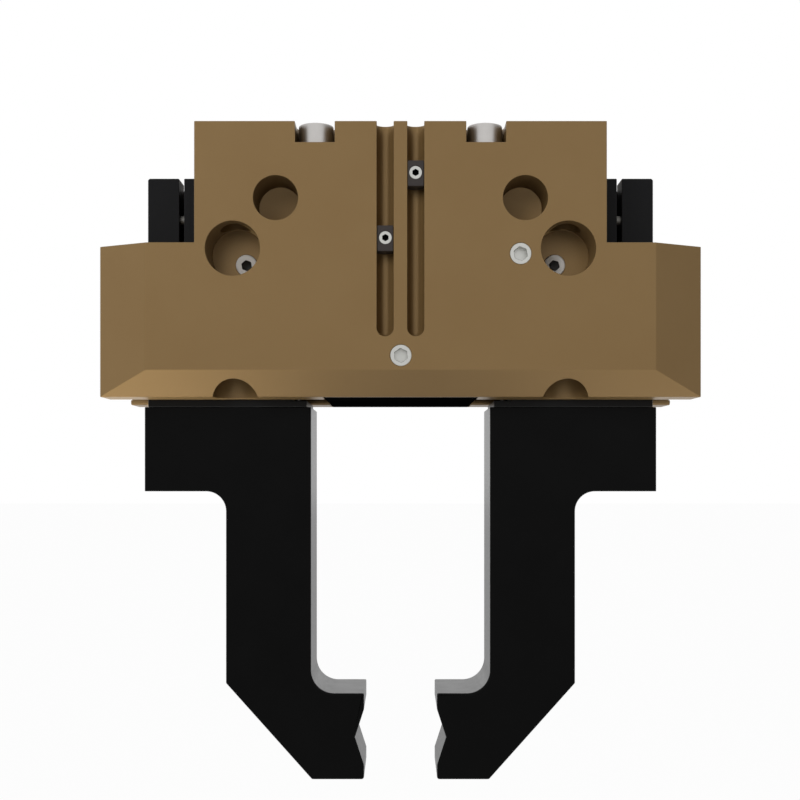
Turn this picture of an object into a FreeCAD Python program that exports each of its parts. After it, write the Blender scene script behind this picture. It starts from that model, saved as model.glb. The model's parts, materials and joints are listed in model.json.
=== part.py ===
# Two-finger parallel gripper with an oval piston and wedge-driven jaws.
# Millimetres. The origin is the centre of the top mounting face, +Z is up,
# the slotted front looks along -Y, and the jaws slide along X.
import FreeCAD
import Part
import math
import os

# Housing
width = 160.0
depth = 64.0
height = 71.7
upper_width = 107.8
shoulder_drop = 31.7
side_chamfer_x = 13.3
side_chamfer_y = 6.6
foot_chamfer_y = 6.6
foot_chamfer_z = 6.7

# Cylinder, its cover and the wall under it
bore_half_x = 27.0
bore_half_y = 17.0
cover_lip = 5.0
cover_thickness = 4.5
spigot_height = 3.5
chamber_height = 23.0
wall_thickness = 5.0
piston_height = 9.8
ring_fit = 0.1
slip_fit = 0.05
cover_screw_x = 10.0
cover_seal_width = 1.6
cover_seal_height = 2.0
piston_seal_width = 2.2
piston_seal_height = 2.6
piston_seal_rise = 0.8
magnet_length = 12.0
magnet_depth = 2.4
magnet_height = 2.0
magnet_rise = 1.3
piston_screw_reach = 8.0
piston_screw_hole = 9.0
piston_top_gap = 0.1

# Rod, bush and seal
rod_radius = 5.5
bush_radius = 8.0
bush_height = 2.8
rod_seal_height = 1.5
rod_lip = 0.6
rod_spigot_radius = 4.0
rod_spigot_height = 3.0

# Jaw travel, measured on one jaw from the rest place
travel_in = 4.2
travel_out = 5.8
wedge_ratio = 0.8
stroke_margin = 0.4

# Wedge block
wedge_floor_gap = 0.4
wedge_roof_gap = 0.9
wedge_half_mid = 16.3
rail_neck = 2.2
rail_head = 2.6
rail_neck_half = 4.0
rail_head_half = 7.5
rail_play = 0.15

# Jaw channel and its guide teeth
channel_half = 13.2
channel_break = 0.5
tooth_depth = 1.9
tooth_height = 2.6
tooth_tops = (-67.6, -62.0)
guide_play = 0.1
side_play = 0.3
channel_height = 13.5
pocket_half_x = 42.4

# Base jaws
jaw_inner = 25.9
jaw_outer = 69.7
jaw_drop = 2.0
toe_gap = 0.2
nose_x = 10.3
arm_outer = 36.0
arm_play = 0.6
rail_top_play = 0.3

# Fingers
finger_depth = 25.0
finger_inner = 24.75
finger_outer = 70.8
block_height = 23.3
shank_outer = 48.3
elbow_radius = 5.5
bevel_rise = 2.8
pad_height = 23.8
tip_toe_x = 24.5
ledge_drop = 79.2
ledge_radius = 6.4
pad_x = 10.1
notch_depth = 2.5
notch_height = 15.4
notch_below_ledge = 12.15
tip_radius = 0.7
edge_break = 0.3

# Finger screws and sleeves
finger_screw_x = 59.5
finger_screw_y = 6.3
m6_core = 2.5
m6_clear = 3.2
m6_head = 4.9
m6_head_height = 6.0
m6_key = 5.0
m6_key_depth = 3.0
counterbore_play = 0.4
sleeve_radius = 4.5
sleeve_half = 2.5
finger_screw_depth = 10.0

# Mounting holes of the housing
bolt_x = 44.0
bolt_y = 23.6
bolt_clear = 4.2
bolt_head = 6.25
bolt_head_depth = 13.7
insert_x = 22.4
insert_y = 25.8
insert_radius = 4.63
insert_length = 13.5
notch_radius = 5.2
notch_drop_top = 5.5

# Front holes
port_x = 32.65
port_z = -20.0
port_radius = 5.87
port_depth = 14.0
drill_slope = 0.6
passage_radius = 1.6
recess_x = 43.9
recess_z = -33.2
recess_radius = 7.18
recess_depth = 12.8
plug_radius = 2.83
plug_length = 5.0
plug_socket = 2.6
plug_spots = ((0.1, -61.2), (31.4, -34.6))
plug_passage = 1.2
plug_passage_depth = 11.0
angled_plug_radius = 2.9
angled_plug_length = 4.5
angled_plug_sink = 0.7
angled_plug_edge = 0.2
angled_spot = (-2.3, -2.6)
angled_axis = (-0.25, -0.93, -0.25)

# Switch slots
slot_x = 4.0
slot_mouth = 4.4
slot_bore = 2.45
slot_axis_depth = 3.1
slot_length = 54.0
switch_tops = (-27.2, -10.2)
switch_length = 6.7
switch_screw_drops = (3.2, 3.15)
switch_play = 0.1
switch_sink = 0.4
switch_screw_radius = 1.75
switch_screw_depth = 2.8
switch_socket = 1.7
switch_key_depth = 2.4

# Switch brackets
bracket_width = 16.0
bracket_depth = 24.0
bracket_height = 21.3
bracket_bore_out = 6.7
bracket_bore = 4.1
bracket_slot = 1.4
bracket_edge = 0.4
clamp_screw_y = -8.5
clamp_screw_z = -21.4
m25_core = 1.25
m25_head = 2.25
m25_head_height = 2.5
bracket_screws_out = (3.4, 12.0)
bracket_screw_y = 8.5
bracket_screw_depth = 6.0
well_depth = 12.0
well_play = 0.3

# Bottom cover
plate_half_y = 24.3
plate_half_x = 20.8
plate_thickness = 2.0
plate_proud = 0.1
plate_edge = 0.3
plate_play = 0.1
plate_screw_x = 14.0
plate_screw_y = 19.0
m2_core = 0.8
m2_head = 1.9
m2_head_height = 1.1
m2_length = 6.0
m2_tip_gap = 0.3

# Levels that follow from the sizes above
half_width = width / 2
half_depth = depth / 2
front = -half_depth
bore_top = -(cover_thickness + spigot_height)
bore_floor = bore_top - chamber_height
pocket_top = bore_floor - wall_thickness
base = -height
travel_up = travel_out / wedge_ratio
travel_down = travel_in / wedge_ratio
piston_top = bore_top - travel_up - stroke_margin + piston_top_gap
piston_floor = piston_top - piston_height
wedge_top = pocket_top - travel_up - wedge_roof_gap
plate_face = base - plate_proud
plate_roof = plate_face + plate_thickness
wedge_floor = plate_roof + travel_down + wedge_floor_gap
wedge_mid = (wedge_top + wedge_floor) / 2
jaw_floor = base - jaw_drop
rail_cos = 1 / math.hypot(1, wedge_ratio)
bracket_inner = upper_width / 2
bracket_bore_x = bracket_inner + bracket_bore_out
bracket_screw_xs = [bracket_inner + out for out in bracket_screws_out]


def vec(x, y, z):
    return FreeCAD.Vector(x, y, z)


def box(x0, x1, y0, y1, z0, z1):
    return Part.makeBox(x1 - x0, y1 - y0, z1 - z0, vec(x0, y0, z0))


def rod(radius, start, end):
    """A cylinder between two points."""
    way = vec(*end) - vec(*start)
    return Part.makeCylinder(radius, way.Length, vec(*start), way)


def post(radius, x, y, z0, z1):
    return rod(radius, (x, y, z0), (x, y, z1))


def mirrored(shape):
    return shape.mirror(vec(0, 0, 0), vec(1, 0, 0))


def both_sides(shape):
    return shape, mirrored(shape)


def obround(half_x, half_y, z0, z1):
    """An upright slab with straight front and back and round ends."""
    flat = half_x - half_y
    slab = box(-flat, flat, -half_y, half_y, z0, z1)
    ends = [post(half_y, side * flat, 0, z0, z1) for side in (-1, 1)]
    return slab.multiFuse(ends).removeSplitter()


def outline(points, place):
    """A closed wire through (u, v, radius) corners, rounded where radius > 0."""
    edges = []
    count = len(points)
    starts = []
    arcs = []
    for index in range(count):
        u, v, radius = points[index]
        here = place(u, v)
        if radius == 0:
            starts.append((here, here))
            arcs.append(None)
            continue
        last = place(*points[index - 1][:2])
        following = place(*points[(index + 1) % count][:2])
        back = (last - here).normalize()
        ahead = (following - here).normalize()
        half = back.getAngle(ahead) / 2
        reach = radius / math.tan(half)
        middle = (back + ahead).normalize()
        crown = here + middle * (radius / math.sin(half) - radius)
        starts.append((here + back * reach, here + ahead * reach))
        arcs.append(crown)
    for index in range(count):
        if arcs[index] is not None:
            begin, finish = starts[index]
            edges.append(Part.Arc(begin, arcs[index], finish).toShape())
        leave = starts[index][1]
        arrive = starts[(index + 1) % count][0]
        edges.append(Part.makeLine(leave, arrive))
    return Part.Wire(Part.__sortEdges__(edges))


def slab_xz(points, y0, y1):
    """A profile in the XZ plane, extruded from y0 to y1."""
    corners = [(p + (0,))[:3] for p in points]
    wire = outline(corners, lambda u, v: vec(u, y0, v))
    return Part.Face(wire).extrude(vec(0, y1 - y0, 0))


def slab_xy(points, z0, z1):
    corners = [(p + (0,))[:3] for p in points]
    wire = outline(corners, lambda u, v: vec(u, v, z0))
    return Part.Face(wire).extrude(vec(0, 0, z1 - z0))


def hex_hole(across_flats, start, end):
    """A hexagonal socket from start, along the way to end."""
    way = vec(*end) - vec(*start)
    side = way.cross(vec(0, 0, 1))
    if side.Length < 1e-6:
        side = vec(1, 0, 0)
    side.normalize()
    up = side.cross(way).normalize()
    reach = across_flats / math.sqrt(3)
    corners = []
    for step in range(7):
        turn = math.radians(60 * step)
        spoke = side * (reach * math.cos(turn)) + up * (reach * math.sin(turn))
        corners.append(vec(*start) + spoke)
    return Part.Face(Part.makePolygon(corners)).extrude(way)


def wedge_half(z):
    """Half width of the wedge block's body at height z."""
    return wedge_half_mid - wedge_ratio * (z - wedge_mid)


def rail_span(near, far, z0, z1, half_y):
    """A slanted bar beside the wedge face, between two normal distances."""
    near_x = near / rail_cos
    far_x = far / rail_cos
    points = [(wedge_half(z0) + near_x, z0), (wedge_half(z0) + far_x, z0),
              (wedge_half(z1) + far_x, z1), (wedge_half(z1) + near_x, z1)]
    return slab_xz(points, -half_y, half_y)


def lower_block():
    x = half_width
    y = half_depth
    plan = []
    for sx, sy, swap in ((1, -1, False), (1, 1, True), (-1, 1, False), (-1, -1, True)):
        face = (sx * (x - side_chamfer_x), sy * y)
        flank = (sx * x, sy * (y - side_chamfer_y))
        plan += [flank, face] if swap else [face, flank]
    block = slab_xy(plan, base, -shoulder_drop)
    for side in (-1, 1):
        cutter = Part.makePolygon([
            vec(-x, side * y, base + foot_chamfer_z),
            vec(-x, side * y, base),
            vec(-x, side * (y - foot_chamfer_y), base),
            vec(-x, side * y, base + foot_chamfer_z)])
        block = block.cut(Part.Face(cutter).extrude(vec(width, 0, 0)))
    return block


def jaw_channel():
    """The toothed channel along X, its pocket, and the cylinder with its wall."""
    cuts = [box(-half_width, half_width, -channel_half, channel_half,
                base, base + channel_height)]
    reach = channel_half - side_play + tooth_depth + guide_play
    for top in tooth_tops:
        cuts.append(box(-half_width, half_width, -reach, reach,
                        top - tooth_height - guide_play, top + guide_play))
    cuts.append(box(-pocket_half_x, pocket_half_x, -channel_half, channel_half,
                    base, pocket_top))
    for side in (-1, 1):
        y = side * channel_half
        corner = Part.makePolygon([
            vec(-half_width, y, base), vec(-half_width, y + side * channel_break, base),
            vec(-half_width, y, base + channel_break), vec(-half_width, y, base)])
        cuts.append(Part.Face(corner).extrude(vec(width, 0, 0)))
    seat_x = plate_half_x + plate_play
    seat_y = plate_half_y + plate_play
    cuts.append(box(-seat_x, seat_x, -seat_y, seat_y, base, plate_roof))
    cuts.append(obround(bore_half_x, bore_half_y, bore_floor, 0))
    cuts.append(obround(bore_half_x + cover_lip + slip_fit,
                        bore_half_y + cover_lip + slip_fit, -cover_thickness, 0))
    cuts.append(post(rod_radius + 0.5, 0, 0, pocket_top, bore_floor))
    cuts.append(post(bush_radius, 0, 0, pocket_top, bore_floor - rod_lip))
    return cuts


def switch_slot(x):
    y = front + slot_axis_depth
    half = slot_mouth / 2
    mouth = box(x - half, x + half, front, y, -slot_length, 0)
    end = rod(half, (x, front, -slot_length), (x, y, -slot_length))
    bore = post(slot_bore, x, y, -slot_length, 0)
    ball = Part.makeSphere(slot_bore, vec(x, y, -slot_length))
    return [mouth, end, bore, ball]


def front_holes():
    cuts = []
    for side in (-1, 1):
        x = side * port_x
        y = front + port_depth
        cuts.append(rod(port_radius, (x, front, port_z), (x, y, port_z)))
        cuts.append(Part.makeCone(port_radius, 0, port_radius * drill_slope, vec(x, y, port_z), vec(0, 1, 0)))
        level = bore_top - passage_radius if side < 0 else bore_floor + passage_radius
        cuts.append(rod(passage_radius, (x, y, port_z),
                        (side * (bore_half_x - passage_radius), -bore_half_y / 2, level)))
        x = side * recess_x
        cuts.append(rod(recess_radius, (x, front, recess_z),
                        (x, front + recess_depth, recess_z)))
    for x, z in plug_spots:
        cuts.append(rod(plug_radius, (x, front, z), (x, front + plug_length, z)))
        cuts.append(rod(plug_passage, (x, front, z), (x, front + plug_length + plug_passage_depth, z)))
    return cuts


def angled_plug_line(side, start, end):
    """Points on the angled plug's axis, at distances behind the recess floor."""
    reach = math.hypot(*angled_axis)
    mouth = vec(side * (recess_x + angled_spot[0]), front + recess_depth,
                recess_z + angled_spot[1])
    way = vec(side * angled_axis[0] / reach, angled_axis[1] / reach, angled_axis[2] / reach)
    return tuple(mouth - way * start), tuple(mouth - way * end)


def mounting_holes():
    cuts = []
    for sx in (-1, 1):
        for sy in (-1, 1):
            x = sx * bolt_x
            y = sy * bolt_y
            cuts.append(post(bolt_clear, x, y, base, 0))
            cuts.append(post(bolt_head, x, y, base, base + bolt_head_depth))
            x = sx * insert_x
            y = sy * insert_y
            cuts.append(post(insert_radius, x, y, -insert_length, 0))
            cuts.append(post(notch_radius, x, y, -notch_drop_top, 0))
            edge = sy * half_depth
            cuts.append(box(x - notch_radius, x + notch_radius,
                            min(y, edge), max(y, edge), -notch_drop_top, 0))
    return cuts


def shoulder_holes():
    cuts = []
    for side in (-1, 1):
        cuts.append(post(bracket_bore + well_play, side * bracket_bore_x, 0,
                         -shoulder_drop - well_depth, -shoulder_drop))
        for x in bracket_screw_xs:
            cuts.append(post(m25_core, side * x, bracket_screw_y,
                             -shoulder_drop - bracket_screw_depth, -shoulder_drop))
        for y in (-plate_screw_y, plate_screw_y):
            cuts.append(post(m2_core, side * plate_screw_x, y,
                             base, plate_face + m2_length))
    return cuts


def cover_screw_spots():
    flange_x = bore_half_x + cover_lip / 2
    flange_y = bore_half_y + cover_lip / 2
    spots = [(-flange_x, 0), (flange_x, 0)]
    spots += [(sx * cover_screw_x, sy * flange_y) for sx in (-1, 1) for sy in (-1, 1)]
    return spots


def housing():
    upper = box(-upper_width / 2, upper_width / 2, front, half_depth, -shoulder_drop, 0)
    body = lower_block().fuse(upper).removeSplitter()
    cuts = jaw_channel() + switch_slot(-slot_x) + switch_slot(slot_x)
    cuts += front_holes() + mounting_holes() + shoulder_holes()
    for side in (-1, 1):
        start, end = angled_plug_line(side, -2, angled_plug_sink + angled_plug_length)
        cuts.append(rod(angled_plug_radius, start, end))
    for x, y in cover_screw_spots():
        cuts.append(post(m2_core, x, y, -cover_thickness - m2_length, -cover_thickness))
    return body.cut(cuts)


def countersunk(x, y, face, way, length):
    """A countersunk screw: its head's flat at face, its shank along way."""
    head = Part.makeCone(m2_head, m2_core, m2_head_height, vec(x, y, face), vec(0, 0, way))
    screw = head.fuse(rod(m2_core, (x, y, face), (x, y, face + way * length)))
    return screw


def cylinder_cover():
    flange = obround(bore_half_x + cover_lip, bore_half_y + cover_lip, -cover_thickness, 0)
    spigot = obround(bore_half_x - slip_fit, bore_half_y - slip_fit, bore_top, -cover_thickness)
    cover = flange.fuse(spigot).removeSplitter()
    groove = cover_ring(bore_half_x + 1, bore_half_x - cover_seal_width)
    cuts = [groove]
    for x, y in cover_screw_spots():
        cuts.append(post(m2_core, x, y, -cover_thickness, 0))
        cuts.append(Part.makeCone(m2_head, m2_core, m2_head_height, vec(x, y, 0), vec(0, 0, -1)))
    return cover.cut(cuts)


def cover_ring(outer_x, inner_x):
    """A ring with the bore's plan, in the middle of the cover's spigot."""
    middle = (bore_top - cover_thickness) / 2
    z0 = middle - cover_seal_height / 2
    z1 = middle + cover_seal_height / 2
    gap = bore_half_x - bore_half_y
    return obround(outer_x, outer_x - gap, z0, z1).cut(obround(inner_x, inner_x - gap, z0, z1))


def piston():
    gap = bore_half_x - bore_half_y
    half_x = bore_half_x - ring_fit
    body = obround(half_x, half_x - gap, piston_floor, piston_top)
    seal_space = piston_ring(half_x + 1, half_x - piston_seal_width)
    cuts = [seal_space, post(rod_spigot_radius, 0, 0, piston_floor, piston_floor + rod_spigot_height)]
    cuts += [post(m6_core, 0, 0, piston_floor, piston_top),
             post(m6_head, 0, 0, piston_top - m6_head_height, piston_top)]
    cuts += magnet_bars()
    return body.cut(cuts)


def piston_ring(outer_x, inner_x):
    middle = (piston_top + piston_floor) / 2 + piston_seal_rise
    gap = bore_half_x - bore_half_y
    z0 = middle - piston_seal_height / 2
    z1 = middle + piston_seal_height / 2
    return obround(outer_x, outer_x - gap, z0, z1).cut(obround(inner_x, inner_x - gap, z0, z1))


def magnet_bars():
    """Bar magnets let into the piston's front and back, under its seal."""
    bars = []
    outer = bore_half_y - ring_fit
    z0 = piston_floor + magnet_rise
    for side in (-1, 1):
        near = side * (outer - magnet_depth)
        far = side * outer
        bars.append(box(-magnet_length / 2, magnet_length / 2, min(near, far), max(near, far),
                        z0, z0 + magnet_height))
    return bars


def piston_screw():
    z = piston_top
    head = post(m6_head, 0, 0, z - m6_head_height, z)
    shank = post(m6_core, 0, 0, piston_floor - piston_screw_reach, z - m6_head_height)
    return head.fuse(shank).cut(hex_hole(m6_key, (0, 0, z), (0, 0, z - m6_key_depth)))


def wedge_block():
    points = [(-wedge_half(wedge_top), wedge_top), (wedge_half(wedge_top), wedge_top),
              (wedge_half(wedge_floor), wedge_floor), (-wedge_half(wedge_floor), wedge_floor)]
    half_y = channel_half - side_play
    body = slab_xz(points, -half_y, half_y)
    neck = rail_span(-0.5, rail_neck, wedge_floor, wedge_top, rail_neck_half)
    head = rail_span(rail_neck, rail_neck + rail_head, wedge_floor, wedge_top, rail_head_half)
    body = body.multiFuse(list(both_sides(neck)) + list(both_sides(head)))
    stem = post(rod_radius, 0, 0, wedge_top, piston_floor)
    spigot = post(rod_spigot_radius, 0, 0, piston_floor, piston_floor + rod_spigot_height)
    body = body.multiFuse([stem, spigot]).removeSplitter()
    return body.cut(post(m6_core, 0, 0, piston_floor - piston_screw_hole,
                         piston_floor + rod_spigot_height))


def right_base_jaw():
    face = rail_play
    arm_top = pocket_top - arm_play
    rail_top = base + channel_height - rail_top_play
    toe_top = base - toe_gap
    nose_z = wedge_mid - (nose_x - face - wedge_half_mid) / wedge_ratio
    points = [(nose_x, nose_z), (nose_x, arm_top), (arm_outer, arm_top),
              (arm_outer, rail_top), (jaw_outer, rail_top), (jaw_outer, jaw_floor),
              (jaw_inner, jaw_floor), (jaw_inner, toe_top),
              (wedge_half(toe_top) + face, toe_top)]
    half_y = channel_half - side_play
    jaw = slab_xz(points, -half_y, half_y)
    reach = half_y + tooth_depth
    wide = slab_xz(points, -reach, reach)
    for top in tooth_tops:
        band = box(0, half_width, -reach, reach, top - tooth_height, top)
        jaw = jaw.fuse(wide.common(band))
    jaw = jaw.removeSplitter()
    play = rail_play * rail_cos
    slots = [rail_span(-1, rail_neck, toe_top, 0, rail_neck_half + rail_play),
             rail_span(rail_neck - play, rail_neck + rail_head + play, toe_top, 0,
                       rail_head_half + rail_play)]
    room = box(0, half_width, -half_y, half_y, toe_top, arm_top - rail_neck)
    slots = [slot.common(room) for slot in slots]
    for y in (-finger_screw_y, finger_screw_y):
        x = finger_screw_x
        slots.append(post(m6_core, x, y, jaw_floor, jaw_floor + finger_screw_depth))
        slots.append(post(sleeve_radius, x, y, jaw_floor, jaw_floor + sleeve_half))
    return jaw.cut(slots)


def right_finger():
    top = jaw_floor
    ledge = top - ledge_drop
    tip = ledge - pad_height
    notch = ledge - notch_below_ledge
    half_notch = notch_height / 2
    points = [(finger_inner, top), (finger_outer, top), (finger_outer, top - block_height),
              (shank_outer, top - block_height, elbow_radius),
              (shank_outer, ledge + bevel_rise, tip_radius), (tip_toe_x, tip, tip_radius),
              (pad_x, tip, tip_radius), (pad_x, notch - half_notch, tip_radius),
              (pad_x + notch_depth, notch, tip_radius / 2),
              (pad_x, notch + half_notch, tip_radius), (pad_x, ledge, tip_radius / 2),
              (finger_inner, ledge, ledge_radius)]
    half = finger_depth / 2
    finger = slab_xz(points, -half, half)
    rims = [edge for edge in finger.Edges
            if edge.BoundBox.YLength < 1e-6 and edge.BoundBox.ZMin < top - 0.01]
    finger = finger.makeChamfer(edge_break, rims)
    cuts = []
    for y in (-finger_screw_y, finger_screw_y):
        x = finger_screw_x
        low = top - block_height
        cuts.append(post(m6_clear, x, y, low, top))
        cuts.append(post(sleeve_radius, x, y, top - sleeve_half, top))
        cuts.append(post(m6_head + counterbore_play, x, y, low, low + m6_head_height + 0.5))
    return finger.cut(cuts)


def right_finger_screws():
    screws = []
    seat = jaw_floor - block_height + m6_head_height + 0.5
    for y in (-finger_screw_y, finger_screw_y):
        x = finger_screw_x
        head = post(m6_head, x, y, seat - m6_head_height, seat)
        shank = post(m6_core, x, y, seat, jaw_floor + finger_screw_depth - 1.0)
        low = seat - m6_head_height
        key = hex_hole(m6_key, (x, y, low), (x, y, low + m6_key_depth))
        screws.append(head.fuse(shank).cut(key))
    return Part.makeCompound(screws)


def right_centring_sleeves():
    sleeves = []
    for y in (-finger_screw_y, finger_screw_y):
        ends = (finger_screw_x, y, jaw_floor - sleeve_half, jaw_floor + sleeve_half)
        sleeves.append(post(sleeve_radius, *ends).cut(post(m6_clear, *ends)))
    return Part.makeCompound(sleeves)


def right_bracket():
    x0 = bracket_inner
    x1 = x0 + bracket_width
    y = bracket_depth / 2
    floor = -shoulder_drop
    top = floor + bracket_height
    e = bracket_edge
    body = slab_xz([(x0, floor), (x1, floor), (x1, top - e), (x1 - e, top), (x0, top)], -y, y)
    x = bracket_bore_x
    cuts = [post(bracket_bore, x, 0, floor, top)]
    cuts.append(box(x - bracket_slot / 2, x + bracket_slot / 2, -y, 0, floor, top))
    cuts.append(rod(m25_core, (x0 + 2, clamp_screw_y, clamp_screw_z), (x1, clamp_screw_y, clamp_screw_z)))
    cuts.append(rod(m25_head, (x1 - m25_head_height, clamp_screw_y, clamp_screw_z),
                    (x1, clamp_screw_y, clamp_screw_z)))
    for sx in bracket_screw_xs:
        cuts.append(post(m25_core, sx, bracket_screw_y, floor, top))
        cuts.append(post(m25_head, sx, bracket_screw_y, top - m25_head_height, top))
    return body.cut(cuts)


def socket_screw(radius, core, head_height, length, face, way, socket):
    """A cap screw: head flat at face, head and shank along the unit way."""
    start = vec(*face)
    step = vec(*way)
    seat = start + step * head_height
    head = rod(radius, tuple(start), tuple(seat))
    shank = rod(core, tuple(seat), tuple(start + step * length))
    key = hex_hole(socket, tuple(start), tuple(start + step * head_height * 0.6))
    return head.fuse(shank).cut(key)


def bracket_screws():
    top = -shoulder_drop + bracket_height
    length = bracket_height + bracket_screw_depth - 0.5
    screws = []
    for side in (-1, 1):
        for x in bracket_screw_xs:
            screws.append(socket_screw(m25_head, m25_core, m25_head_height, length,
                                       (side * x, bracket_screw_y, top), (0, 0, -1), 2.0))
    return Part.makeCompound(screws)


def clamp_screws():
    outer = bracket_inner + bracket_width
    length = bracket_width - 2.5
    screw = socket_screw(m25_head, m25_core, m25_head_height, length,
                         (outer, clamp_screw_y, clamp_screw_z), (-1, 0, 0), 2.0)
    return Part.makeCompound(both_sides(screw))


def slot_switch(x, top, screw_drop):
    y = front + slot_axis_depth
    half = slot_mouth / 2 - switch_play
    low = top - switch_length
    body = post(slot_bore - switch_play, x, y, low, top)
    body = body.fuse(box(x - half, x + half, front + switch_sink, y, low, top))
    z = top - screw_drop
    return body.cut(rod(switch_screw_radius, (x, front + switch_sink, z),
                        (x, front + switch_sink + switch_screw_depth, z)))


def magnetic_switches():
    spots = zip((-slot_x, slot_x), switch_tops, switch_screw_drops)
    return Part.makeCompound([slot_switch(*spot) for spot in spots])


def switch_screws():
    screws = []
    for x, top, drop in zip((-slot_x, slot_x), switch_tops, switch_screw_drops):
        z = top - drop
        y = front + switch_sink
        body = rod(switch_screw_radius, (x, y, z), (x, y + switch_screw_depth, z))
        screws.append(body.cut(hex_hole(switch_socket, (x, y, z), (x, y + switch_key_depth, z))))
    return Part.makeCompound(screws)


def threaded_inserts():
    inserts = []
    for sx in (-1, 1):
        for sy in (-1, 1):
            x = sx * insert_x
            y = sy * insert_y
            body = post(insert_radius, x, y, -insert_length, 0)
            inserts.append(body.cut(post(m6_core, x, y, 1 - insert_length, 0)))
    return Part.makeCompound(inserts)


def front_plugs():
    plugs = []
    for x, z in plug_spots:
        body = rod(plug_radius, (x, front, z), (x, front + plug_length, z))
        plugs.append(body.cut(hex_hole(plug_socket, (x, front, z), (x, front + 2.5, z))))
    return Part.makeCompound(plugs)


def angled_plugs():
    plugs = []
    for side in (-1, 1):
        start, end = angled_plug_line(side, angled_plug_sink, angled_plug_sink + angled_plug_length)
        key_end = angled_plug_line(side, angled_plug_sink, angled_plug_sink + 2.5)[1]
        body = rod(angled_plug_radius, start, end)
        rims = [edge for edge in body.Edges if edge.Length > angled_plug_radius * 6]
        body = body.makeChamfer(angled_plug_edge, rims)
        plugs.append(body.cut(hex_hole(plug_socket, start, key_end)))
    return Part.makeCompound(plugs)


def bottom_cover():
    x = plate_half_x
    y = plate_half_y
    plate = box(-x, x, -y, y, plate_face, plate_roof)
    rims = [edge for edge in plate.Edges if edge.BoundBox.ZMax < plate_face + slip_fit]
    plate = plate.makeChamfer(plate_edge, rims)
    cuts = []
    for sx in (-1, 1):
        for sy in (-1, 1):
            spot = vec(sx * plate_screw_x, sy * plate_screw_y, plate_face)
            cuts.append(Part.makeCone(m2_head, m2_core, m2_head_height, spot))
            cuts.append(Part.makeCylinder(m2_core, plate_thickness, spot))
    return plate.cut(cuts)


def bottom_cover_screws():
    return Part.makeCompound([
        countersunk(sx * plate_screw_x, sy * plate_screw_y, plate_face, 1, m2_length - m2_tip_gap)
        for sx in (-1, 1) for sy in (-1, 1)])


def cover_screws():
    return Part.makeCompound([countersunk(x, y, 0, -1, cover_thickness + m2_length - m2_tip_gap)
                              for x, y in cover_screw_spots()])


def ring(outer, inner, z0, z1):
    return post(outer, 0, 0, z0, z1).cut(post(inner, 0, 0, z0, z1))


def build():
    seal_x = bore_half_x - ring_fit
    nodes = {
        "housing": housing(),
        "cylinder_cover": cylinder_cover(),
        "cover_seal": cover_ring(seal_x, bore_half_x - cover_seal_width),
        "cover_screws": cover_screws(),
        "threaded_inserts": threaded_inserts(),
        "rod_bush": ring(bush_radius, rod_radius + slip_fit, pocket_top, pocket_top + bush_height),
        "rod_seal": ring(bush_radius, rod_radius + slip_fit, pocket_top + bush_height,
                         pocket_top + bush_height + rod_seal_height),
        "bottom_cover": bottom_cover(),
        "bottom_cover_screws": bottom_cover_screws(),
        "magnetic_switches": magnetic_switches(),
        "switch_screws": switch_screws(),
        "right_bracket": right_bracket(),
        "left_bracket": mirrored(right_bracket()),
        "bracket_screws": bracket_screws(),
        "clamp_screws": clamp_screws(),
        "front_plugs": front_plugs(),
        "angled_plugs": angled_plugs(),
        "piston": piston(),
        "piston_seal": piston_ring(seal_x, seal_x - piston_seal_width),
        "piston_magnets": Part.makeCompound(magnet_bars()),
        "piston_screw": piston_screw(),
        "wedge_block": wedge_block(),
    }
    handed = {"base_jaw": right_base_jaw(), "finger": right_finger(),
              "finger_screws": right_finger_screws(),
              "centring_sleeves": right_centring_sleeves()}
    for name, shape in handed.items():
        nodes["right_" + name] = shape
        nodes["left_" + name] = mirrored(shape)
    return nodes


def main():
    os.makedirs("parts", exist_ok=True)
    for name, shape in build().items():
        if not shape.isValid():
            print("not valid:", name)
        print(name, len(shape.Solids), round(shape.Volume, 1))
        shape.exportStep("parts/" + name + ".step")


main()
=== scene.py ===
import json
import math
import bmesh
import bpy
import numpy as np
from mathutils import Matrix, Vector


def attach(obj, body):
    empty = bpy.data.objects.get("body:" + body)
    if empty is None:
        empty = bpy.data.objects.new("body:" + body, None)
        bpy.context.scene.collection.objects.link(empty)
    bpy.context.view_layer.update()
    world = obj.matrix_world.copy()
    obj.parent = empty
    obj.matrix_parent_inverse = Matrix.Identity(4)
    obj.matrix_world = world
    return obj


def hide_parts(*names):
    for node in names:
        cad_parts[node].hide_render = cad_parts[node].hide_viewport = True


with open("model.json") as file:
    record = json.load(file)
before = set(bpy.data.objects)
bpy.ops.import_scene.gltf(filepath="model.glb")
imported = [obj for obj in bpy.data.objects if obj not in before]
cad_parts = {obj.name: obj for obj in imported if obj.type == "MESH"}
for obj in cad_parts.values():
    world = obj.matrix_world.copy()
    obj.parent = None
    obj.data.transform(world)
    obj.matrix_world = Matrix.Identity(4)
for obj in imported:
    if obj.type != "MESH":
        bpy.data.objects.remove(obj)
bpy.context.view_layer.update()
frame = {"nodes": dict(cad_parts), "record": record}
mm = 0.001


# Small tools

def linear(hexColour):
    # sRGB hex to the linear values that the shaders read
    parts = [int(hexColour[i:i + 2], 16) / 255 for i in (1, 3, 5)]
    return tuple(c / 12.92 if c <= 0.04045 else ((c + 0.055) / 1.055) ** 2.4 for c in parts) + (1.0,)


def addNode(tree, kind, links=None, **settings):
    # a node with its settings; links holds sockets or plain values by input name
    node = tree.nodes.new(kind)
    for name, value in settings.items():
        setattr(node, name, value)
    for name, value in (links or {}).items():
        if isinstance(value, bpy.types.NodeSocket):
            tree.links.new(value, node.inputs[name])
        else:
            node.inputs[name].default_value = value
    return node


# Materials: what all finishes share
# edgeFrom and edgeFull: the cosine between rounded and flat normal where an edge begins and is full

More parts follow.
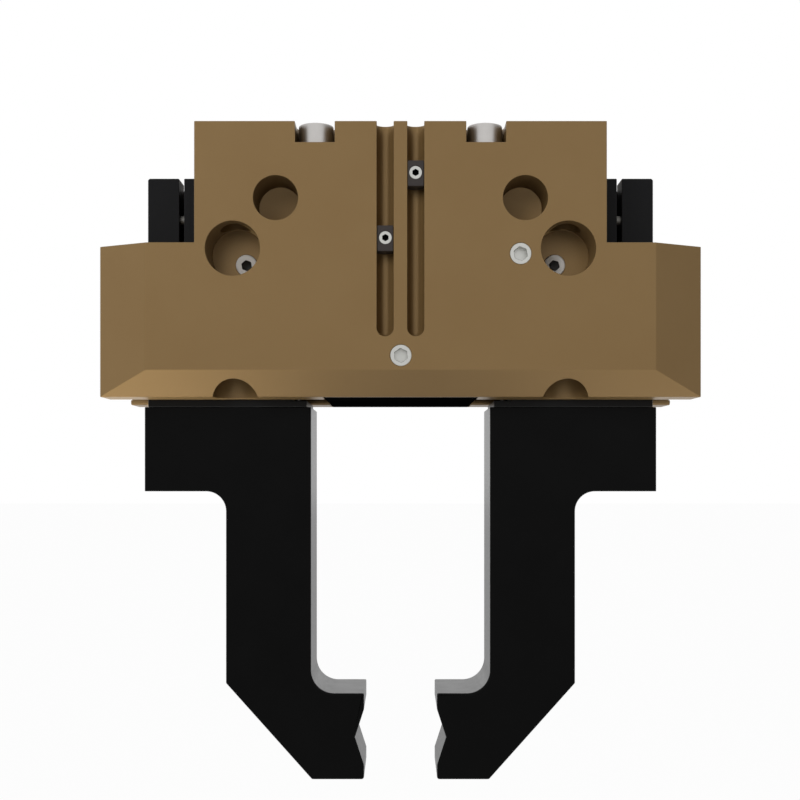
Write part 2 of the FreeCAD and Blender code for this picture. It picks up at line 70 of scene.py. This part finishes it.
# the last entry is the colour of the painted shade in the key sockets
finishRules = {"driftDetail": 4.0, "driftRoughness": 0.6, "bevelSamples": 6,
               "edgeFrom": 0.99, "edgeFull": 0.82, "roughSwing": 0.04, "paintedShade": "#0a0a0a"}


def twoTone(tree, place, look):
    # slow drift between two close tones, as wide as patchMm
    drift = addNode(tree, "ShaderNodeTexNoise", {
        "Vector": place, "Scale": 1 / (look["patchMm"] * mm),
        "Detail": finishRules["driftDetail"], "Roughness": finishRules["driftRoughness"]})
    return addNode(tree, "ShaderNodeMix", {
        0: drift.outputs["Fac"], 6: linear(look["toneA"]), 7: linear(look["toneB"])
    }, data_type="RGBA").outputs[2]


def edgeWearAndHighlight(tree, colour, look):
    # where the rounded normal leaves the flat one there is an edge, painted lighter: partly a thinner coat,
    # partly a painted highlight
    rounded = addNode(tree, "ShaderNodeBevel", {"Radius": look["edgeMm"] * mm},
                      samples=finishRules["bevelSamples"])
    flat = addNode(tree, "ShaderNodeNewGeometry")
    same = addNode(tree, "ShaderNodeVectorMath", {
        0: rounded.outputs["Normal"], 1: flat.outputs["True Normal"]}, operation="DOT_PRODUCT")
    edge = addNode(tree, "ShaderNodeMapRange", {
        "Value": same.outputs["Value"], "From Min": finishRules["edgeFrom"],
        "From Max": finishRules["edgeFull"], "To Min": 0.0, "To Max": look["edgeShare"]})
    return addNode(tree, "ShaderNodeMix", {
        0: edge.outputs["Result"], 6: colour, 7: linear(look["edgeTone"])}, data_type="RGBA").outputs[2]


def paintedSocketShade(tree, colour):
    # painted shade in the key sockets, where the attribute socketShade says how much
    deep = addNode(tree, "ShaderNodeAttribute", attribute_name="socketShade")
    return addNode(tree, "ShaderNodeMix", {
        0: deep.outputs["Fac"], 6: colour, 7: linear(finishRules["paintedShade"])}, data_type="RGBA").outputs[2]


def newFinish(name, look, shadedSockets=False):
    # two drifting tones with edges painted lighter, partly wear and partly painted highlight; a noise as fine
    # as markMm makes the bump and sways the roughness: an even grain as it is, and tool marks where stretch
    # draws it out
    material = bpy.data.materials.new(name)
    material.use_nodes = True
    tree = material.node_tree
    tree.nodes.clear()
    place = markPlace = addNode(tree, "ShaderNodeTexCoord").outputs["Object"]
    if "stretch" in look:
        stretched = addNode(tree, "ShaderNodeMapping", {"Vector": place, "Scale": look["stretch"]})
        markPlace = stretched.outputs["Vector"]
    marks = addNode(tree, "ShaderNodeTexNoise", {
        "Vector": markPlace, "Scale": 1 / (look["markMm"] * mm), "Detail": look["markDetail"]}).outputs["Fac"]
    colour = edgeWearAndHighlight(tree, twoTone(tree, place, look), look)
    # painted shade darkens the key sockets
    if shadedSockets:
        colour = paintedSocketShade(tree, colour)
    bump = addNode(tree, "ShaderNodeBump", {
        "Height": marks, "Strength": look["bumpShare"], "Distance": look["bumpMm"] * mm})
    rough = addNode(tree, "ShaderNodeMapRange", {
        "Value": marks, "To Min": look["roughness"] - finishRules["roughSwing"],
        "To Max": look["roughness"] + finishRules["roughSwing"]})
    surface = addNode(tree, "ShaderNodeBsdfPrincipled", {
        "Base Color": colour, "Roughness": rough.outputs["Result"], "Normal": bump.outputs["Normal"],
        "Metallic": look["metallic"], "Specular IOR Level": look.get("specular", 0.5)})
    addNode(tree, "ShaderNodeOutputMaterial", {"Surface": surface.outputs["BSDF"]})
    return material


def anodisedBronze():
    # hard-anodised aluminium, blasted before the bath: an even satin with a fine dull grain
    look = {"toneA": "#785f3b", "toneB": "#7e6642", "patchMm": 22, "edgeMm": 0.25, "edgeShare": 0.15,
            "edgeTone": "#8f7b58", "markMm": 0.35, "markDetail": 2.0, "bumpShare": 0.25, "bumpMm": 0.05,
            "metallic": 0.5, "roughness": 0.36, "specular": 0.4}
    return newFinish("anodisedBronze", look)


def anodisedBlack():
    # black anodised aluminium with a fine milled face: nearly no mirror head on, strong at a glance
    look = {"toneA": "#121212", "toneB": "#161616", "patchMm": 15, "edgeMm": 0.35, "edgeShare": 0.5,
            "edgeTone": "#333333", "markMm": 0.5, "markDetail": 3.0, "stretch": (0.12, 0.12, 1.0),
            "bumpShare": 0.12, "bumpMm": 0.02, "metallic": 1.0, "roughness": 0.3}
    return newFinish("anodisedBlack", look)


def blackenedSteel():
    # ground steel with black oxide: grinding lines along the jaws' travel
    look = {"toneA": "#0b0b0b", "toneB": "#121212", "patchMm": 9, "edgeMm": 0.3, "edgeShare": 0.6,
            "edgeTone": "#4a4a48", "markMm": 0.3, "markDetail": 2.0, "stretch": (0.04, 1.0, 1.0),
            "bumpShare": 0.2, "bumpMm": 0.02, "metallic": 0.0, "roughness": 0.3, "specular": 0.14}
    return newFinish("blackenedSteel", look)


def blackBracket():
    # black anodised bracket with a fine even grain, a shade greyer than the fingers
    look = {"toneA": "#101011", "toneB": "#141415", "patchMm": 7, "edgeMm": 0.3, "edgeShare": 0.5,
            "edgeTone": "#444446", "markMm": 0.4, "markDetail": 2.0, "bumpShare": 0.2, "bumpMm": 0.03,
            "metallic": 0.0, "roughness": 0.42, "specular": 0.1}
    return newFinish("blackBracket", look)


def mattBlackPlate():
    # painted sheet: swallows light even at a glance
    look = {"toneA": "#060606", "toneB": "#090909", "patchMm": 8, "edgeMm": 0.2, "edgeShare": 0.4,
            "edgeTone": "#2e2d2b", "markMm": 0.3, "markDetail": 2.0, "bumpShare": 0.2, "bumpMm": 0.02,
            "metallic": 0.0, "roughness": 0.8, "specular": 0.0}
    return newFinish("mattBlackPlate", look)


def mouldedPlastic():
    # dark moulded switch body with a spark-eroded grain
    look = {"toneA": "#2a2524", "toneB": "#312c2a", "patchMm": 3, "edgeMm": 0.2, "edgeShare": 0.3,
            "edgeTone": "#4b4543", "markMm": 0.15, "markDetail": 3.0, "bumpShare": 0.3, "bumpMm": 0.03,
            "metallic": 0.0, "roughness": 0.5, "specular": 0.3}
    return newFinish("mouldedPlastic", look)


def bareFinish(name, look):
    # bare or thinly plated metal and rubber: fine marks, and painted shade in the sockets
    return newFinish(name, dict({"markDetail": 3.0, "bumpShare": 0.2, "bumpMm": 0.02}, **look), shadedSockets=True)


bareLooks = {
    # turned steel: fine rings that spread the highlight
    "turned_steel": {"toneA": "#cdcac7", "toneB": "#c2bfbc", "patchMm": 3, "edgeMm": 0.25, "edgeShare": 0.4,
                     "edgeTone": "#dededc", "markMm": 0.12, "stretch": (0.1, 0.1, 1.0),
                     "metallic": 1.0, "roughness": 0.42},
    # zinc-plated steel: bright and a little cloudy
    "zinc_screws": {"toneA": "#cdcdc8", "toneB": "#c1c1bd", "patchMm": 2, "edgeMm": 0.2, "edgeShare": 0.5,
                    "edgeTone": "#e2e2df", "markMm": 0.2, "bumpShare": 0.15,
                    "metallic": 1.0, "roughness": 0.36},
    # black oxide on alloy steel: dark, with bright edges, partly rubbed and partly painted highlight
    "black_screws": {"toneA": "#1d1d1d", "toneB": "#262625", "patchMm": 2, "edgeMm": 0.2, "edgeShare": 0.5,
                     "edgeTone": "#6a6a68", "markMm": 0.2, "metallic": 0.6, "roughness": 0.42},
    # hardened and ground steel: cool grey with lines along the travel
    "hardened_steel": {"toneA": "#8d8f91", "toneB": "#7f8184", "patchMm": 6, "edgeMm": 0.3, "edgeShare": 0.5,
                       "edgeTone": "#c4c6c8", "markMm": 0.25, "stretch": (1.0, 1.0, 0.05),
                       "metallic": 1.0, "roughness": 0.32},
    # tin bronze: warm, with fine marks lengthwise
    "bearing_bronze": {"toneA": "#a8793a", "toneB": "#94692f", "patchMm": 3, "edgeMm": 0.2, "edgeShare": 0.4,
                       "edgeTone": "#d8ab68", "markMm": 0.2, "stretch": (1.0, 1.0, 0.1),
                       "metallic": 1.0, "roughness": 0.4},
    # milled aluminium, not anodised: pale with long marks
    "plain_aluminium": {"toneA": "#c9cacb", "toneB": "#bcbdbf", "patchMm": 8, "edgeMm": 0.3, "edgeShare": 0.3,
                        "edgeTone": "#ececec", "markMm": 0.25, "stretch": (1.0, 1.0, 0.1),
                        "metallic": 1.0, "roughness": 0.35},
    # nickel on magnets: smooth and warm grey
    "magnet_nickel": {"toneA": "#a9a7a2", "toneB": "#9b9995", "patchMm": 3, "edgeMm": 0.2, "edgeShare": 0.4,
                      "edgeTone": "#d6d4cf", "markMm": 0.5, "bumpShare": 0.1, "bumpMm": 0.01,
                      "metallic": 1.0, "roughness": 0.2},
    # nitrile rubber: soft black
    "seal_rubber": {"toneA": "#121212", "toneB": "#1a1a1a", "patchMm": 3, "edgeMm": 0.2, "edgeShare": 0.1,
                    "edgeTone": "#2a2a2a", "markMm": 0.3, "bumpMm": 0.03,
                    "metallic": 0.0, "roughness": 0.6, "specular": 0.3},
}
# the angled plugs' zinc is dull and scatters; the clamp screws get the black screws' look in a light grey
dullZinc = dict(bareLooks["zinc_screws"], toneA="#f0eeea", toneB="#e4e2de", metallic=0.35, roughness=0.55)
greySteel = dict(bareLooks["black_screws"], toneA="#8a8883", toneB="#7c7a75", edgeTone="#a8a6a1")

slotFinishes = {slot: bareFinish(slot.replace("_", " "), look) for slot, look in bareLooks.items()}
slotFinishes["bronze_anodised"] = anodisedBronze()
slotFinishes["black_anodised"] = anodisedBlack()
slotFinishes["black_steel"] = blackenedSteel()
slotFinishes["switch_plastic"] = mouldedPlastic()

# pieces whose finish isn't the one of their slot
bracketFinish = blackBracket()
coverFinish = mattBlackPlate()
ownFinishes = {"right_bracket": bracketFinish, "left_bracket": bracketFinish, "bottom_cover": coverFinish,
               "bottom_cover_screws": coverFinish, "angled_plugs": bareFinish("dullZinc", dullZinc),
               "clamp_screws": bareFinish("greySteel", greySteel)}
print("materials made:", len(bpy.data.materials))


# The housing's air ports
# startY: where the bore ends; slope: the old cone's depth over its radius; tipMm: the new cone's depth

portFloor = {"x": 32.65, "z": -20.0, "radius": 5.87, "startY": -18.0, "slope": 0.6, "tipMm": 1.7,
             "slackMm": 0.03}


def shallowPortFloors(work):
    # each air port ends in a shallow drilled cone: its deeper floor is taken out of the copy, the bore
    # gets a fan to the new tip, and the passage behind is closed where it met the old floor
    slack = portFloor["slackMm"] * mm
    for side in (-1, 1):
        start = Vector((side * portFloor["x"], portFloor["startY"], portFloor["z"])) * mm
        spots = np.array([vertex.co for vertex in work.verts]) - np.array(start)
        reach = np.hypot(spots[:, 0], spots[:, 2])
        floorReach = portFloor["radius"] * mm - spots[:, 1] / portFloor["slope"]
        onFloor = (np.abs(reach - floorReach) < slack) & (spots[:, 1] > -slack)
        work.verts.index_update()
        gone = [face for face in work.faces if all(onFloor[vertex.index] for vertex in face.verts)]
        bmesh.ops.delete(work, geom=gone, context="FACES")
        openEdges = [edge for edge in work.edges if edge.is_boundary]
        mouth = [edge for edge in openEdges
                 if all(abs(vertex.co.y - start.y) < slack for vertex in edge.verts)]
        tip = work.verts.new(start + Vector((0, portFloor["tipMm"] * mm, 0)))
        for edge in mouth:
            face = work.faces.new((edge.verts[0], edge.verts[1], tip))
            face.normal_update()
            if face.normal.y > 0:
                face.normal_flip()
        passageEdges = [edge for edge in openEdges if edge not in mouth]
        caps = bmesh.ops.holes_fill(work, edges=passageEdges, sides=0)["faces"]
        bmesh.ops.triangulate(work, faces=caps)
        print("port floor:", len(gone), "faces out,", len(mouth), "in, open edges left:",
              sum(edge.is_boundary for edge in work.edges))


# The pieces: each shown node gets a welded copy with softened edges, of edgeMm or its own width

softening = {"weldMm": 0.002, "flatDegrees": 0.6, "sharpDegrees": 21, "edgeMm": 0.2, "bevelSegments": 2}
ownEdgeMm = {"housing": 0.14, "magnetic_switches": 0.12}
# closed in by the housing: they keep the solids' own mesh
hiddenNodes = ("piston", "piston_seal", "piston_magnets", "piston_screw", "rod_seal", "cover_seal")


def softenedCopy(node, body, finish):
    # weld the loose triangles, join the flat ones into whole faces, and round the sharp edges
    mesh = frame["nodes"][node].data.copy()
    work = bmesh.new()
    work.from_mesh(mesh)
    bmesh.ops.remove_doubles(work, verts=work.verts, dist=softening["weldMm"] * mm)
    if node == "housing":
        shallowPortFloors(work)
    bmesh.ops.dissolve_limit(work, angle_limit=math.radians(softening["flatDegrees"]),
                             verts=work.verts, edges=work.edges)
    work.to_mesh(mesh)
    work.free()
    mesh.polygons.foreach_set("use_smooth", np.ones(len(mesh.polygons), bool))
    mesh.set_sharp_from_angle(angle=math.radians(softening["sharpDegrees"]))
    mesh.materials.clear()
    mesh.materials.append(finish)
    piece = bpy.data.objects.new(node + "_dressed", mesh)
    bpy.context.scene.collection.objects.link(piece)
    edges = piece.modifiers.new("softEdges", "BEVEL")
    edges.width = ownEdgeMm.get(node, softening["edgeMm"]) * mm
    edges.segments = softening["bevelSegments"]
    edges.limit_method = "ANGLE"
    edges.angle_limit = math.radians(softening["sharpDegrees"])
    edges.use_clamp_overlap = False
    edges.face_strength_mode = "FSTR_AFFECTED"
    flat = piece.modifiers.new("flatFaces", "WEIGHTED_NORMAL")
    flat.use_face_influence = True
    flat.keep_sharp = True
    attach(piece, body)
    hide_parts(node)


# Screws and plugs that show: turned bodies with a real socket, in place of the plain ones
# uprightShare: from this share of z on, a screw's way in counts as upright

turning = {"sides": 48, "sharpDegrees": 28, "uprightShare": 0.9}


def socketReach(flats, around):
    # distance from the axis to a hexagon's wall: half the flats over the cosine of the angle
    # from its nearest flat
    fromFlat = (around + math.pi / 6) % (math.pi / 3) - math.pi / 6
    return flats / 2 / np.cos(fromFlat)


def turnedBody(look, at, way, turn):
    # rings about the axis, one a profile row: axis point + distance * (cos a * across + sin a * up)
    count = turning["sides"]
    around = np.linspace(0, 2 * math.pi, count, endpoint=False)
    inward = np.array(way, float) / np.linalg.norm(way)
    upright = abs(inward[2]) > turning["uprightShare"]
    across = np.cross(inward, (0.0, 1.0, 0.0) if upright else (0.0, 0.0, 1.0))
    across /= np.linalg.norm(across)
    up = np.cross(across, inward)
    socket = socketReach(look["flats"], around - math.radians(turn))
    # each ring: distances from the axis, depth behind the face, and its share of painted shade
    rings = [(np.full(count, distance), behind, 0.0) for distance, behind in look["profile"]]
    rings += [(socket + look["lead"], 0.0, 0.0), (socket, look["lead"], look["paintedShade"]),
              (socket, look["keyDepth"], look["paintedShade"])]
    distances = np.stack([ring[0] for ring in rings])[:, :, None]
    depths = np.array([ring[1] for ring in rings])[:, None, None]
    circle = np.cos(around)[None, :, None] * across + np.sin(around)[None, :, None] * up
    points = (np.array(at) + depths * inward + distances * circle).reshape(-1, 3) * mm
    ringStarts = np.arange(len(rings) - 1)[:, None] * count
    here = (ringStarts + np.arange(count)).ravel()
    beside = (ringStarts + (np.arange(count) + 1) % count).ravel()
    faces = np.stack([here, beside, beside + count, here + count], 1).tolist()
    faces.append(list(range(count))[::-1])
    faces.append(list(range((len(rings) - 1) * count, len(rings) * count)))
    return points, faces, np.repeat([ring[2] for ring in rings], count)


def turnedScrews(node, body, finish, look):
    # all the screws of one node in one mesh, with the sockets' painted shade as an attribute
    points, faces, shadeShares, start = [], [], [], 0
    for at, way, turn in look["spots"]:
        newPoints, newFaces, newShadeShares = turnedBody(look, at, way, turn)
        points.append(newPoints)
        shadeShares.append(newShadeShares)
        faces += [[corner + start for corner in face] for face in newFaces]
        start += len(newPoints)
    mesh = bpy.data.meshes.new(node + "_turned")
    mesh.from_pydata(np.concatenate(points).tolist(), [], faces)
    mesh.attributes.new("socketShade", "FLOAT", "POINT").data.foreach_set("value", np.concatenate(shadeShares))
    work = bmesh.new()
    work.from_mesh(mesh)
    bmesh.ops.recalc_face_normals(work, faces=work.faces)
    work.to_mesh(mesh)
    work.free()
    mesh.polygons.foreach_set("use_smooth", np.ones(len(mesh.polygons), bool))
    mesh.set_sharp_from_angle(angle=math.radians(turning["sharpDegrees"]))
    mesh.materials.append(finish)
    piece = bpy.data.objects.new(node + "_turned", mesh)
    bpy.context.scene.collection.objects.link(piece)
    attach(piece, body)
    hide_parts(node)


# profile: (distance from the axis, distance behind the face) from the far end to the face, mm
# spots: (middle of the face, way in, degrees that the socket is turned)
front, top, cover = -32.0, 0.0, -71.8
capHead = ((2.25, 2.5), (2.25, 0.25), (2.0, 0.0))
sunkHead = ((0.8, 1.1), (1.9, 0.06), (1.84, 0.0))
coverScrewSpots = ((-29.5, 0), (29.5, 0), (-10, -19.5), (-10, 19.5), (10, -19.5), (10, 19.5))
sides = (-1, 1)
# in each look the socket's share of painted shade is given after keyDepth
screwLooks = {
    "front_plugs": {
        "profile": ((2.7, 5.0), (2.83, 4.87), (2.83, 0.12), (2.71, 0.0)),
        "flats": 3.3, "lead": 0.1, "keyDepth": 2.6, "paintedShade": 0.0,
        "spots": [((0.1, front, -61.2), (0, 1, 0), 5), ((31.4, front, -34.6), (0, 1, 0), 9)]},
    "angled_plugs": {
        "profile": ((2.7, 4.5), (2.9, 4.3), (2.9, 0.2), (2.7, 0.0)),
        "flats": 2.6, "lead": 0.1, "keyDepth": 2.4, "paintedShade": 0.9,
        "spots": [((side * 41.776, -18.546, -35.624), (side * 0.25, 0.93, 0.25), 12) for side in sides]},
    "switch_screws": {
        "profile": ((1.6, 2.8), (1.75, 2.65), (1.75, 0.12), (1.63, 0.0)),
        "flats": 1.6, "lead": 0.04, "keyDepth": 2.2, "paintedShade": 1.0,
        "spots": [((-3.95, front + 0.4, -30.4), (0, 1, 0), 0), ((3.95, front + 0.4, -13.35), (0, 1, 0), 0)]},
    "cover_screws": {
        "profile": ((0.7, 10.2), (0.8, 10.1)) + sunkHead,
        "flats": 1.2, "lead": 0.05, "keyDepth": 0.8, "paintedShade": 0.8,
        "spots": [((x, y, top), (0, 0, -1), 15) for x, y in coverScrewSpots]},
    "bottom_cover_screws": {
        "profile": ((0.7, 5.7), (0.8, 5.6)) + sunkHead,
        "flats": 1.2, "lead": 0.05, "keyDepth": 0.8, "paintedShade": 0.8,
        "spots": [((sideX * 14, sideY * 19, cover), (0, 0, 1), 20) for sideX in sides for sideY in sides]},
    "bracket_screws": {
        "profile": ((1.1, 26.8), (1.25, 26.65), (1.25, 2.5)) + capHead,
        "flats": 2.0, "lead": 0.1, "keyDepth": 1.5, "paintedShade": 0.8,
        "spots": [((side * x, 8.5, -10.4), (0, 0, -1), 10) for side in sides for x in (57.3, 65.9)]},
    "clamp_screws": {
        "profile": ((1.1, 13.5), (1.25, 13.35), (1.25, 2.5)) + capHead,
        "flats": 2.0, "lead": 0.1, "keyDepth": 1.5, "paintedShade": 0.8,
        "spots": [((side * 69.9, -8.5, -21.4), (-side, 0, 0), 25) for side in sides]},
}

slotOf = {part["node"]: part["material_slot"] for part in frame["record"]["subparts"]}
for body, nodes in frame["record"]["behaviour"]["bodies"].items():
    for node in nodes:
        slot = slotOf[node]
        finish = ownFinishes.get(node, slotFinishes[slot])
        if node in screwLooks:
            turnedScrews(node, body, finish, screwLooks[node])
        elif node in hiddenNodes:
            frame["nodes"][node].data.materials.clear()
            frame["nodes"][node].data.materials.append(finish)
        else:
            softenedCopy(node, body, finish)
print("pieces dressed:", len(slotOf))


# Studio: metres and watts; each lamp aims at the object's middle unless it says where

studio = {"floorZ": -0.8, "floorSize": 60.0, "floorTone": 0.7, "floorGlow": 0.97, "floorGloss": 0.6,
          "fill": 0.36, "darkSide": 0.55, "darkFrom": 0.65, "darkFull": 0.9, "middle": (0, 0, -0.09)}
lamps = {
    # the main light from the front left, and a weak one from behind
    "keyLamp": {"at": (-0.8, -1.92, 0.75), "size": 1.1, "watts": 36.5},
    "backLamp": {"at": (0.5, 1.2, 0.4), "size": 0.7, "watts": 6.0},
    # narrow beams from below, one on each end of the lower chamfer
    "lowLeftLamp": {"at": (-0.15, -0.02, -0.6), "size": 0.05, "watts": 0.075, "aim": (-0.085, -0.03, -0.07),
                    "spread": 16},
    "lowRightLamp": {"at": (0.15, -0.02, -0.6), "size": 0.05, "watts": 0.03, "aim": (0.085, -0.03, -0.07),
                     "spread": 16},
}
white = (1.0, 1.0, 1.0, 1.0)


def makeFloor():
    # pale floor: mostly its own white for the camera and gloss, the rest keeps the shadow
    half = studio["floorSize"] / 2
    z = studio["floorZ"]
    mesh = bpy.data.meshes.new("floor")
    corners = [(-half, -half, z), (half, -half, z), (half, half, z), (-half, half, z)]
    mesh.from_pydata(corners, [], [(0, 1, 2, 3)])
    material = bpy.data.materials.new("paleFloor")
    material.use_nodes = True
    tree = material.node_tree
    tree.nodes.clear()
    matt = addNode(tree, "ShaderNodeBsdfDiffuse", {"Color": (studio["floorTone"],) * 3 + (1.0,)})
    glow = addNode(tree, "ShaderNodeEmission", {"Color": white, "Strength": 1.0})
    rays = addNode(tree, "ShaderNodeLightPath").outputs
    seen = addNode(tree, "ShaderNodeMath", {
        0: rays["Is Camera Ray"], 1: rays["Is Transmission Ray"]}, operation="MAXIMUM")
    direct = addNode(tree, "ShaderNodeMath", {
        0: seen.outputs[0], 1: studio["floorGlow"]}, operation="MULTIPLY")
    share = addNode(tree, "ShaderNodeMath", {
        0: rays["Is Glossy Ray"], 1: studio["floorGloss"], 2: direct.outputs[0]}, operation="MULTIPLY_ADD")
    both = addNode(tree, "ShaderNodeMixShader", {0: share.outputs[0], 1: matt.outputs[0], 2: glow.outputs[0]})
    addNode(tree, "ShaderNodeOutputMaterial", {"Surface": both.outputs[0]})
    mesh.materials.append(material)
    floor = bpy.data.objects.new("floor", mesh)
    bpy.context.scene.collection.objects.link(floor)


def makeWorld():
    # white to the eye; to gloss it is weaker from the far right, and as light softer as well
    world = bpy.data.worlds.new("studio")
    bpy.context.scene.world = world
    world.use_nodes = True
    tree = world.node_tree
    tree.nodes.clear()
    way = addNode(tree, "ShaderNodeTexCoord")
    apart = addNode(tree, "ShaderNodeSeparateXYZ", {0: way.outputs["Generated"]})
    side = addNode(tree, "ShaderNodeMapRange", {
        "Value": apart.outputs["X"], "From Min": studio["darkFrom"], "From Max": studio["darkFull"],
        "To Min": 1.0, "To Max": studio["darkSide"]}).outputs[0]
    rays = addNode(tree, "ShaderNodeLightPath").outputs
    fill = addNode(tree, "ShaderNodeMath", {0: side, 1: studio["fill"]}, operation="MULTIPLY")
    soft = addNode(tree, "ShaderNodeBackground", {"Color": white, "Strength": fill.outputs[0]})
    gloss = addNode(tree, "ShaderNodeBackground", {"Color": white, "Strength": side})
    clear = addNode(tree, "ShaderNodeBackground", {"Color": white, "Strength": 1.0})
    seen = addNode(tree, "ShaderNodeMath", {
        0: rays["Is Camera Ray"], 1: rays["Is Transmission Ray"]}, operation="MAXIMUM")
    lit = addNode(tree, "ShaderNodeMixShader", {
        0: rays["Is Glossy Ray"], 1: soft.outputs[0], 2: gloss.outputs[0]})
    both = addNode(tree, "ShaderNodeMixShader", {0: seen.outputs[0], 1: lit.outputs[0], 2: clear.outputs[0]})
    addNode(tree, "ShaderNodeOutputWorld", {"Surface": both.outputs[0]})


def makeLamp(name, look):
    # square soft lamp that neither the camera nor gloss sees
    lamp = bpy.data.lights.new(name, "AREA")
    lamp.size = look["size"]
    lamp.energy = look["watts"]
    lamp.spread = math.radians(look.get("spread", 180))
    holder = bpy.data.objects.new(name, lamp)
    holder.location = look["at"]
    aim = Vector(look.get("aim", studio["middle"])) - Vector(look["at"])
    holder.rotation_euler = aim.to_track_quat("-Z", "Y").to_euler()
    holder.visible_camera = False
    holder.visible_glossy = False
    bpy.context.scene.collection.objects.link(holder)


makeFloor()
makeWorld()
for name, look in lamps.items():
    makeLamp(name, look)


# Camera: level with the fingers' upper third, its frame shifted to take in the whole tool

viewPoint = {"at": (0.0, -0.362, -0.0922), "focalPx": 1264, "framePx": 800, "levelPx": 474, "centrePx": 400.5,
             "sensorMm": 36, "nearM": 0.01}
camera = bpy.data.cameras.new("camera")
camera.sensor_width = viewPoint["sensorMm"]
camera.lens = viewPoint["sensorMm"] * viewPoint["focalPx"] / viewPoint["framePx"]
camera.shift_x = (viewPoint["framePx"] / 2 - viewPoint["centrePx"]) / viewPoint["framePx"]
camera.shift_y = (viewPoint["levelPx"] - viewPoint["framePx"] / 2) / viewPoint["framePx"]
camera.clip_start = viewPoint["nearM"]
cameraHolder = bpy.data.objects.new("camera", camera)
cameraHolder.location = viewPoint["at"]
cameraHolder.rotation_euler = (math.radians(90), 0, 0)
bpy.context.scene.collection.objects.link(cameraHolder)
bpy.context.scene.camera = cameraHolder
bpy.context.scene.view_settings.view_transform = "Standard"
print("studio ready")
